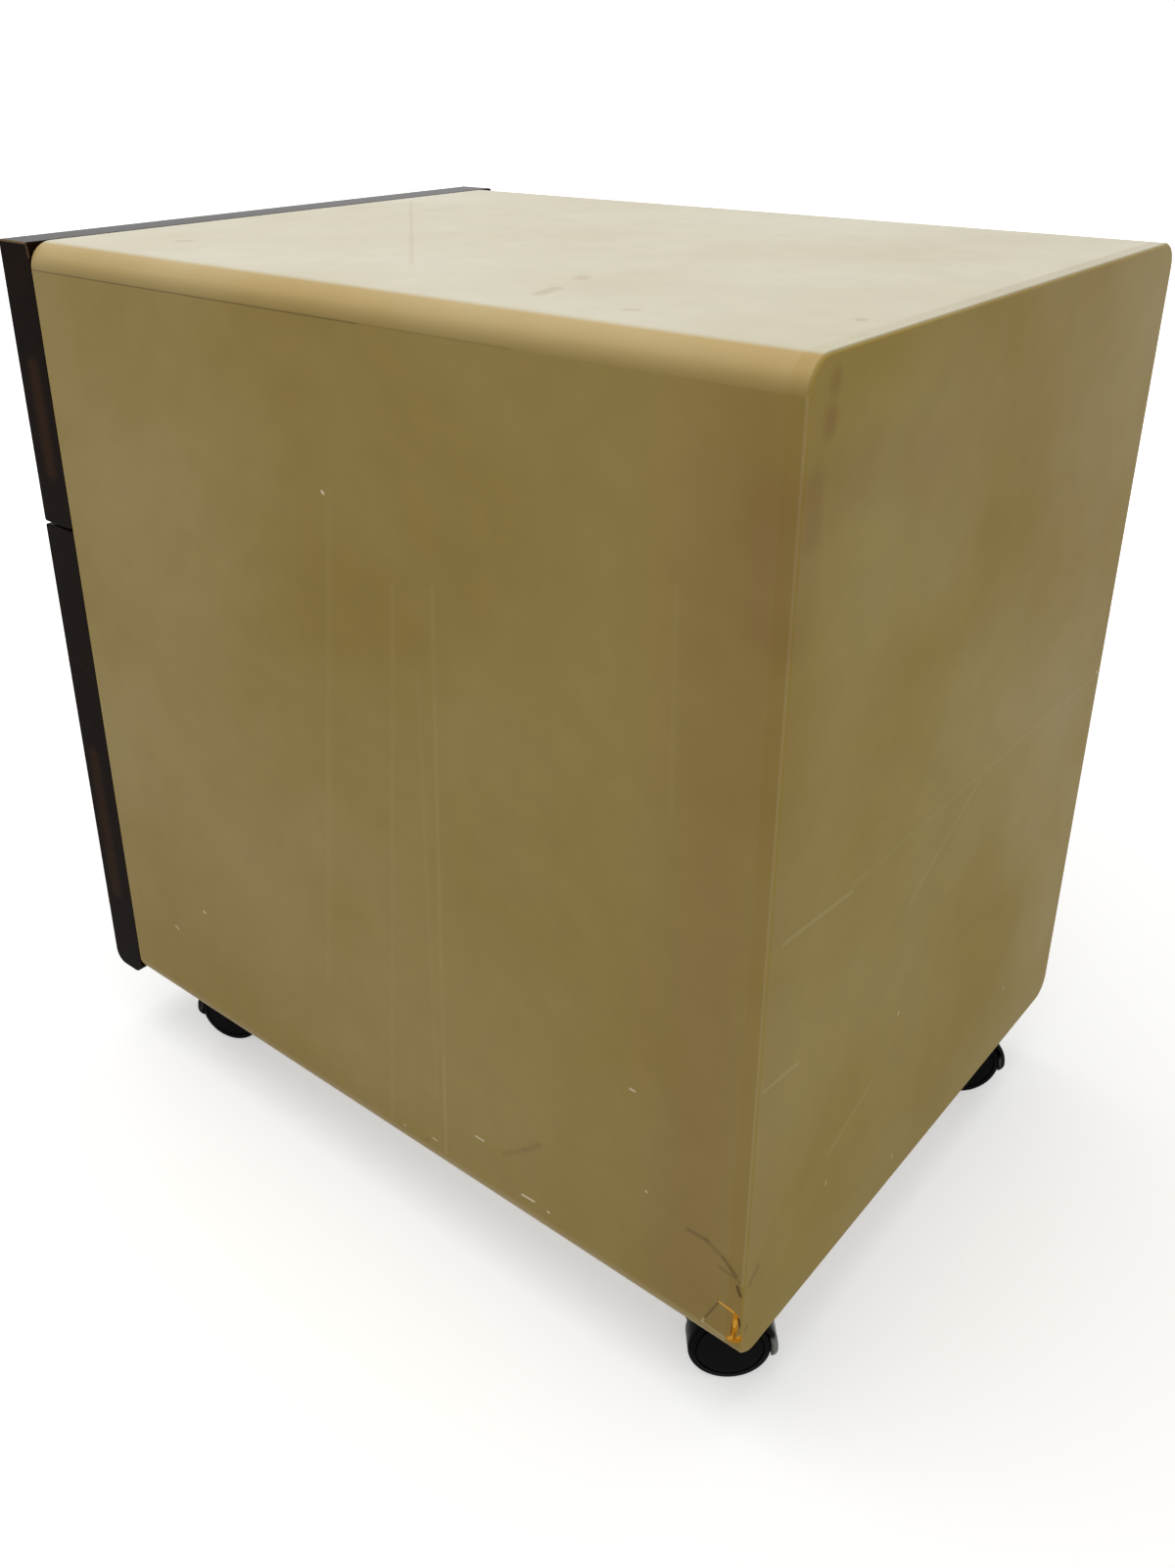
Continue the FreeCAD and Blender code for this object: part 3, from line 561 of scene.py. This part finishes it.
# the upper front's edge has worn pale where it is knocked
frontMarks = [
    ("stain", (217, -296, 619.4), (217, -266, 619.4), 0.4, 0.9, 0.55),
    ("stain", (217, -265, 618), (217, -264.4, 611), 0.5, 0.9, 0.3),
    ("rub", (217, -280, 540), (217, -279, 470), 3, 9, 0.12),
    ("rub", (217, -284, 250), (217, -283, 130), 3, 9, 0.1),
]
stainedWood, stainTree, stainShader, stainPlace = newMaterial("stainedHardwood", stain["roughness"])
stainShader.inputs["IOR"].default_value = stain["ior"]
stainShader.inputs["Specular IOR Level"].default_value = stain["specular"]
acrossGrain = addNode(
    stainTree,
    "ShaderNodeVectorMath",
    {0: stainPlace, 1: (stain["grainRun"], 1, 1)},
    operation="MULTIPLY",
)
stainGrain = addNode(
    stainTree,
    "ShaderNodeTexNoise",
    {
        "Vector": acrossGrain.outputs[0],
        "Scale": 1000 / stain["grainMm"],
        "Detail": 4.0,
        "Roughness": 0.65,
    },
)
wornPatches = addNode(
    stainTree,
    "ShaderNodeTexNoise",
    {"Vector": stainPlace, "Scale": stain["patchesPerMetre"], "Detail": 5.0},
)
grained = blendColours(
    stainTree,
    stainGrain.outputs[0],
    stain["grainBounds"],
    hexToLinear(stain["darkHex"]),
    hexToLinear(stain["grainHex"]),
)
rubbed = blendColours(
    stainTree,
    wornPatches.outputs[0],
    stain["patchBounds"],
    grained,
    hexToLinear(stain["rubbedHex"]),
    stain["patchMost"],
)
frontColour = paintMarks(stainTree, stainPlace, rubbed, frontMarks)
stainTree.links.new(frontColour, stainShader.inputs["Base Color"])
pores = addNode(
    stainTree,
    "ShaderNodeBump",
    {
        "Height": stainGrain.outputs[0],
        "Strength": stain["poreStrength"],
        "Distance": stain["poreDepthMm"] / 1000,
    },
)
stainTree.links.new(pores.outputs[0], stainShader.inputs["Normal"])
finishNodes(stainedWood, "upper_front", "lower_front")
print("fronts stained")

# Birch drawer boards, planed and clear lacquered: pale wood with long fine grain and a soft shine.
birch = {
    "paleHex": "#D8B98A",
    "darkHex": "#B98F5C",
    "grainMm": 5.0,
    "grainRun": 0.05,
    "grainBounds": (0.3, 0.7),
    "waviness": 0.4,
    "poreStrength": 0.3,
    "poreDepthMm": 0.06,
    "roughness": 0.42,
}


def clearLacqueredBirch(name, run):
    material, tree, shader, place = newMaterial(name, birch["roughness"])
    alongGrain = addNode(tree, "ShaderNodeVectorMath", {0: place, 1: run}, operation="MULTIPLY")
    grain = addNode(
        tree,
        "ShaderNodeTexNoise",
        {
            "Vector": alongGrain.outputs[0],
            "Scale": 1000 / birch["grainMm"],
            "Detail": 5.0,
            "Distortion": birch["waviness"],
        },
    )
    colour = blendColours(
        tree,
        grain.outputs[0],
        birch["grainBounds"],
        hexToLinear(birch["paleHex"]),
        hexToLinear(birch["darkHex"]),
    )
    tree.links.new(colour, shader.inputs["Base Color"])
    relief = addNode(
        tree,
        "ShaderNodeBump",
        {
            "Height": grain.outputs[0],
            "Strength": birch["poreStrength"],
            "Distance": birch["poreDepthMm"] / 1000,
        },
    )
    tree.links.new(relief.outputs[0], shader.inputs["Normal"])
    return material


sideWood = clearLacqueredBirch("clearLacqueredBirchSides", (1, birch["grainRun"], 1))
backWood = clearLacqueredBirch("clearLacqueredBirchBacks", (birch["grainRun"], 1, 1))
for level in ("upper", "lower"):
    finishNodes(sideWood, f"{level}_left_side", f"{level}_right_side")
    finishNodes(backWood, f"{level}_back")

# Hardboard sheet, pressed smooth on its face: brown fibres, matt.
hardboard = {
    "paleHex": "#A8845A",
    "darkHex": "#7C5A38",
    "fibreMm": 1.5,
    "fibreStrength": 0.25,
    "fibreDepthMm": 0.05,
    "roughness": 0.62,
}
sheet, sheetTree, sheetShader, sheetPlace = newMaterial("pressedHardboard", hardboard["roughness"])
fibres = addNode(
    sheetTree,
    "ShaderNodeTexNoise",
    {"Vector": sheetPlace, "Scale": 1000 / hardboard["fibreMm"], "Detail": 6.0, "Roughness": 0.7},
)
fibreColour = addNode(
    sheetTree,
    "ShaderNodeMix",
    {0: fibres.outputs[0], 6: hexToLinear(hardboard["paleHex"]), 7: hexToLinear(hardboard["darkHex"])},
    data_type="RGBA",
)
sheetTree.links.new(fibreColour.outputs[2], sheetShader.inputs["Base Color"])
fibreRelief = addNode(
    sheetTree,
    "ShaderNodeBump",
    {
        "Height": fibres.outputs[0],
        "Strength": hardboard["fibreStrength"],
        "Distance": hardboard["fibreDepthMm"] / 1000,
    },
)
sheetTree.links.new(fibreRelief.outputs[0], sheetShader.inputs["Normal"])
finishNodes(sheet, "upper_bottom", "lower_bottom")

# Powder coat baked on sheet steel: fine pebbled skin with a half gloss, dusty in places.
powder = {
    "creamAgedAndLitHexes": ("#D6D0C0", "#B6AE9A"),       # clean and dusty
    "creamRoughness": 0.35,
    "blackAgedAndLitHexes": ("#26262A", "#3A3938"),
    "blackRoughness": 0.42,
    "dustPerMetre": 30.0,
    "dustBounds": (0.45, 0.7),
    "pebblesPerMetre": 900.0,
    "pebbleStrength": 0.4,
    "pebbleDepthMm": 0.05,
}


def powderCoat(name, hexes, roughness):
    material, tree, shader, place = newMaterial(name, roughness)
    clean, dusty = [hexToLinear(hexCode) for hexCode in hexes]
    dust = addNode(
        tree,
        "ShaderNodeTexNoise",
        {"Vector": place, "Scale": powder["dustPerMetre"], "Detail": 5.0},
    )
    colour = blendColours(tree, dust.outputs[0], powder["dustBounds"], clean, dusty)
    tree.links.new(colour, shader.inputs["Base Color"])
    pebbles = addNode(
        tree,
        "ShaderNodeTexNoise",
        {"Vector": place, "Scale": powder["pebblesPerMetre"], "Detail": 2.0},
    )
    relief = addNode(
        tree,
        "ShaderNodeBump",
        {
            "Height": pebbles.outputs[0],
            "Strength": powder["pebbleStrength"],
            "Distance": powder["pebbleDepthMm"] / 1000,
        },
    )
    tree.links.new(relief.outputs[0], shader.inputs["Normal"])
    return material


runnerCoat = powderCoat("creamPowderCoatedSteel", powder["creamAgedAndLitHexes"], powder["creamRoughness"])
for level in ("upper", "lower"):
    for side in ("left", "right"):
        finishNodes(runnerCoat, f"{level}_{side}_cabinet_runner", f"{level}_{side}_drawer_runner")
railCoat = powderCoat("blackPowderCoatedSteel", powder["blackAgedAndLitHexes"], powder["blackRoughness"])
finishNodes(railCoat, "left_file_rail", "right_file_rail")

# Moulded plastics: slightly cloudy, with a soft shine; the black kinds pick up grey dust and scuffs, and the
# grey scuff on the rear right hood's top is partly a painted reflection.
rollerNylon = {
    "hexes": ("#E2DED0", "#A9A493"),            # clean and dusty
    "dustBounds": (0.55, 0.85),
    "roughness": 0.38,
    "specular": 0.5,
}
wheelNylon = {
    "hexes": ("#040404", "#161513"),
    "dustBounds": (0.66, 0.85),
    "roughness": 0.26,
    "specular": 0.03,
}
hoodAbs = {
    "hexes": ("#030303", "#10100F"),
    "dustBounds": (0.68, 0.85),
    "roughness": 0.2,
    "specular": 0.05,
}
moulding = {
    "ior": 1.53,
    "dustPerMetre": 70.0,
    "dulling": (0.35, 0.75),
    "shinier": 0.06,            # how far the roughness goes below and above its own level
    "duller": 0.18,
    "skinPerMetre": 1400.0,
    "skinStrength": 0.3,
    "skinDepthMm": 0.03,
}
# a grey patch on the rear right hood's top: a painted reflection of the bright floor, partly grey scuffing
# of the plastic
hoodScuffsAndReflection = [("greyed", (155, 283, 36), (166, 292, 28), 12, 5, 0.85)]


def mouldedPlastic(name, kind, marks=()):
    material, tree, shader, place = newMaterial(name, kind["roughness"])
    shader.inputs["IOR"].default_value = moulding["ior"]
    shader.inputs["Specular IOR Level"].default_value = kind["specular"]
    clean, dusty = [hexToLinear(hexCode) for hexCode in kind["hexes"]]
    dust = addNode(
        tree,
        "ShaderNodeTexNoise",
        {"Vector": place, "Scale": moulding["dustPerMetre"], "Detail": 6.0, "Roughness": 0.7},
    )
    colour = blendColours(tree, dust.outputs[0], kind["dustBounds"], clean, dusty)
    colour = paintMarks(tree, place, colour, marks)
    tree.links.new(colour, shader.inputs["Base Color"])
    gloss = addNode(
        tree,
        "ShaderNodeMapRange",
        {
            "Value": dust.outputs[0],
            "From Min": moulding["dulling"][0],
            "From Max": moulding["dulling"][1],
            "To Min": kind["roughness"] - moulding["shinier"],
            "To Max": kind["roughness"] + moulding["duller"],
        },
    )
    tree.links.new(gloss.outputs[0], shader.inputs["Roughness"])
    skin = addNode(
        tree,
        "ShaderNodeTexNoise",
        {"Vector": place, "Scale": moulding["skinPerMetre"], "Detail": 2.0},
    )
    relief = addNode(
        tree,
        "ShaderNodeBump",
        {
            "Height": skin.outputs[0],
            "Strength": moulding["skinStrength"],
            "Distance": moulding["skinDepthMm"] / 1000,
        },
    )
    tree.links.new(relief.outputs[0], shader.inputs["Normal"])
    return material


rollerPlastic = mouldedPlastic("mouldedWhiteNylon", rollerNylon)
for level in ("upper", "lower"):
    finishNodes(rollerPlastic, f"{level}_front_rollers", f"{level}_rear_rollers")
wheelPlastic = mouldedPlastic("mouldedBlackNylon", wheelNylon)
scuffedReflectingPlastic = mouldedPlastic("scuffedBlackAbsPaintedReflection", hoodAbs, hoodScuffsAndReflection)
hoodPlastic = mouldedPlastic("mouldedBlackAbs", hoodAbs)

# Zinc plate on pressed steel: grey metal with pale spangles, dulled in patches where it has oxidised.
# Bright drawn steel has the same bloom, fainter and with more shine.
metal = {
    "zincAgedAndLitHexes": ("#A9ABAC", "#7E7F7E"),        # bright and dulled
    "zincRoughness": 0.38,
    "steelAgedAndLitHexes": ("#B9BABB", "#9A9A9A"),
    "steelRoughness": 0.22,
    "bloomPerMetre": 110.0,
    "bloomBounds": (0.35, 0.7),
    "dulling": (0.3, 0.7),
    "duller": 0.25,
    "bloomStrength": 0.2,
    "bloomDepthMm": 0.1,
}


def bloomedMetal(name, hexes, roughness):
    material, tree, shader, place = newMaterial(name, roughness, metallic=1.0)
    bright, dulled = [hexToLinear(hexCode) for hexCode in hexes]
    bloom = addNode(
        tree,
        "ShaderNodeTexNoise",
        {"Vector": place, "Scale": metal["bloomPerMetre"], "Detail": 5.0, "Roughness": 0.65},
    )
    colour = blendColours(tree, bloom.outputs[0], metal["bloomBounds"], bright, dulled)
    tree.links.new(colour, shader.inputs["Base Color"])
    gloss = addNode(
        tree,
        "ShaderNodeMapRange",
        {
            "Value": bloom.outputs[0],
            "From Min": metal["dulling"][0],
            "From Max": metal["dulling"][1],
            "To Min": roughness,
            "To Max": roughness + metal["duller"],
        },
    )
    tree.links.new(gloss.outputs[0], shader.inputs["Roughness"])
    relief = addNode(
        tree,
        "ShaderNodeBump",
        {
            "Height": bloom.outputs[0],
            "Strength": metal["bloomStrength"],
            "Distance": metal["bloomDepthMm"] / 1000,
        },
    )
    tree.links.new(relief.outputs[0], shader.inputs["Normal"])
    return material


plateZinc = bloomedMetal("dulledZincPlate", metal["zincAgedAndLitHexes"], metal["zincRoughness"])
axleSteel = bloomedMetal("brightDrawnSteel", metal["steelAgedAndLitHexes"], metal["steelRoughness"])
print("drawers, runners and metal finished")

# Casters: hooded twin wheels, built around the swivel axis with the wheels trailing towards +X, in mm.
caster = {
    "turns": {"rear_right": -50.0, "rear_left": -46.0, "front_right": 113.0, "front_left": 72.0},
    "sharpDegrees": 34,
    "trail": 10.0,
    "wheelRadius": 25.0,
    "wheelInner": 6.8,
    "wheelOuter": 23.8,
    "wheelSteps": 96,
    "bore": 3.1,
    "boreDepth": 8,
    "boreEase": 0.4,
    "bossRadius": 6.5,
    "innerEase": [(0.9, 0), (0.25, 0.25), (0, 0.9)],        # in from the tread, out from the inner face
    "rimSink": 1.1,
    "rimRound": 1.6,
    "rimTurns": (0, 22.5, 45, 67.5, 90),
    "grooveRadius": 19.5,
    "groove": [(1.4, 0.75), (1.0, 1.45), (0.4, 1.45), (0, 0.5)],        # out from its radius, sunk
    "dome": [(0.75, 0.22), (0.4, 0.05)],        # share of the groove's radius, sunk
    "domeFlat": 2.0,
    "hoodInner": 26.6,
    "hoodOuter": 29.1,
    "hoodHalfWidth": 24.5,
    "hoodSteps": 60,
    "hoodLip": [(0, 1.2), (-0.5, 0.3), (-0.3, 0)],          # out from the inner radius, in from the side
    "shoulder": 2.4,
    "shoulderTurns": (0, 30, 60, 90),
    "crown": 0.999,
    "tipAngle": 17.0,           # how far the hood's tip reaches below the axle
    "mouthAngle": 130.0,        # where the hood ends over the open side of the wheels
    "tipTaper": 16.0,
    "tipThickness": 0.35,
    "tipWidth": 0.86,
    "webHalf": 6.5,
    "webRadius": 26.7,
    "webSteps": 48,
    "hubRadius": 8.5,
    "hubFrom": -10,
    "hubSweep": -160,
    "hubSteps": 12,
    "neckRadius": 9.0,
    "neckFrom": 50.5,
    "neckTop": 56.0,
    "neckEase": 0.8,
    "neckSteps": 48,
}


def newPiece(name, vertices, faces, material):
    mesh = bpy.data.meshes.new(name)
    mesh.from_pydata([Vector(point) / 1000 for point in vertices], [], faces)
    mesh.validate()
    mesh.polygons.foreach_set("use_smooth", [True] * len(mesh.polygons))
    mesh.set_sharp_from_angle(angle=math.radians(caster["sharpDegrees"]))
    mesh.materials.append(material)
    piece = bpy.data.objects.new(name, mesh)
    bpy.context.scene.collection.objects.link(piece)
    return piece


# a closed loop of points carried through several stations, with both ends capped
def skinLoops(loops):
    vertices = [point for loop in loops for point in loop]
    size = len(loops[0])
    faces = [tuple(reversed(range(size))), tuple(range(len(vertices) - size, len(vertices)))]
    for station in range(len(loops) - 1):
        low = station * size
        for corner in range(size):
            after = (corner + 1) % size
            faces.append((low + corner, low + after, low + size + after, low + size + corner))
    return vertices, faces


def joined(*parts):
    vertices = []
    faces = []
    for partVertices, partFaces in parts:
        start = len(vertices)
        vertices += partVertices
        faces += [tuple(start + corner for corner in face) for face in partFaces]
    return vertices, faces


# a point that lies at a radius and an angle about the axle; the angle is 0 where the wheels trail
def aboutAxle(radius, angle, across):
    return (
        caster["trail"] + radius * math.cos(angle),
        across,
        caster["wheelRadius"] + radius * math.sin(angle),
    )


# a profile of (radius, distance along the axle) turned about the axle, to one hand or the other
def turnedOnAxle(profile, hand):
    steps = caster["wheelSteps"]
    vertices = []
    for radius, along in profile:
        for step in range(steps):
            vertices.append(aboutAxle(radius, 2 * math.pi * step / steps, hand * along))
    faces = []
    for ring in range(len(profile) - 1):
        low = ring * steps
        for step in range(steps):
            after = (step + 1) % steps
            face = (low + step, low + after, low + steps + after, low + steps + step)
            faces.append(face if hand > 0 else tuple(reversed(face)))
    last = (len(profile) - 1) * steps
    cap = tuple(range(last, last + steps))
    faces.append(cap if hand < 0 else tuple(reversed(cap)))
    return vertices, faces


def wheelProfile():
    radius = caster["wheelRadius"]
    inner = caster["wheelInner"]
    outer = caster["wheelOuter"]
    ease = caster["rimRound"]
    groove = caster["grooveRadius"]
    profile = [(caster["bore"], inner + caster["boreDepth"]), (caster["bore"], inner + caster["boreEase"])]
    profile.append((caster["bossRadius"], inner))
    profile += [(radius - sunk, inner + out) for sunk, out in caster["innerEase"]]
    for turn in caster["rimTurns"]:
        angle = math.radians(turn)
        along = outer - caster["rimSink"] - ease + ease * math.sin(angle)
        profile.append((radius - ease + ease * math.cos(angle), along))
    profile += [(groove + out, outer - sunk) for out, sunk in caster["groove"]]
    profile += [(groove * share, outer - sunk) for share, sunk in caster["dome"]]
    profile.append((caster["domeFlat"], outer))
    return profile


def hoodShell():
    loops = []
    start = -caster["tipAngle"]
    sweep = caster["mouthAngle"] - start
    inner = caster["hoodInner"]
    for station in range(caster["hoodSteps"] + 1):
        degrees = start + sweep * station / caster["hoodSteps"]
        taper = min(1.0, (degrees - start) / caster["tipTaper"])
        ease = math.sin(taper * math.pi / 2)
        thick = caster["tipThickness"] + (1 - caster["tipThickness"]) * ease
        thick *= caster["hoodOuter"] - inner
        width = caster["hoodHalfWidth"] * (caster["tipWidth"] + (1 - caster["tipWidth"]) * ease)
        section = [(inner + out, -width + aside) for out, aside in caster["hoodLip"]]
        for turn in caster["shoulderTurns"]:
            angle = math.radians(turn)
            across = -width + caster["shoulder"] * (1 - math.cos(angle))
            section.append((inner + thick * math.sin(angle) * caster["crown"], across))
        section += [(radius, -across) for radius, across in reversed(section)]
        angle = math.pi - math.radians(degrees)
        loops.append([aboutAxle(radius, angle, across) for radius, across in section])
    return skinLoops(loops)


# the plate between the wheels: the hood's own arc closed by a hub round the axle
def hoodWeb():
    rims = []
    sweep = caster["tipAngle"] + caster["mouthAngle"]
    for across in (-caster["webHalf"], caster["webHalf"]):
        rim = []
        for step in range(caster["webSteps"] + 1):
            angle = math.pi - math.radians(sweep * step / caster["webSteps"] - caster["tipAngle"])
            rim.append(aboutAxle(caster["webRadius"], angle, across))
        for step in range(caster["hubSteps"] + 1):
            angle = math.radians(caster["hubFrom"] + caster["hubSweep"] * step / caster["hubSteps"])
            rim.append(aboutAxle(caster["hubRadius"], angle, across))
        rims.append(rim)
    return skinLoops(rims)


def hoodNeck():
    rings = []
    steps = caster["neckSteps"]
    radius = caster["neckRadius"]
    ease = caster["neckEase"]
    top = caster["neckTop"]
    angles = [2 * math.pi * step / steps for step in range(steps)]
    for wide, height in ((radius, caster["neckFrom"]), (radius, top - ease), (radius - ease, top)):
        rings.append([(wide * math.cos(angle), wide * math.sin(angle), height) for angle in angles])
    return skinLoops(rings)


for corner, turn in caster["turns"].items():
    lowest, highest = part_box(f"{corner}_plate")
    spot = Matrix.Translation(((lowest[0] + highest[0]) / 2, (lowest[1] + highest[1]) / 2, 0))
    stance = spot @ Matrix.Rotation(math.radians(turn), 4, "Z")
    # the rear right hood gets the plastic with the painted reflection and scuffing on its top
    plastic = scuffedReflectingPlastic if corner == "rear_right" else hoodPlastic
    hood = newPiece(f"{corner}_moulded_hood", *joined(hoodShell(), hoodWeb(), hoodNeck()), plastic)
    hood.data.transform(stance)
    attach(hood, f"{corner}_caster")
    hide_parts(f"{corner}_hood")
    for order, hand in (("first", -1), ("second", 1)):
        shape = turnedOnAxle(wheelProfile(), hand)
        wheel = newPiece(f"{corner}_{order}_moulded_wheel", *shape, wheelPlastic)
        wheel.data.transform(stance)
        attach(wheel, f"{corner}_{order}_wheel")
        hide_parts(f"{corner}_{order}_wheel")
    finishNodes(plateZinc, f"{corner}_plate")
    finishNodes(axleSteel, f"{corner}_axle")
finishNodes(axleSteel, "caster_kingpins")
print("casters built")
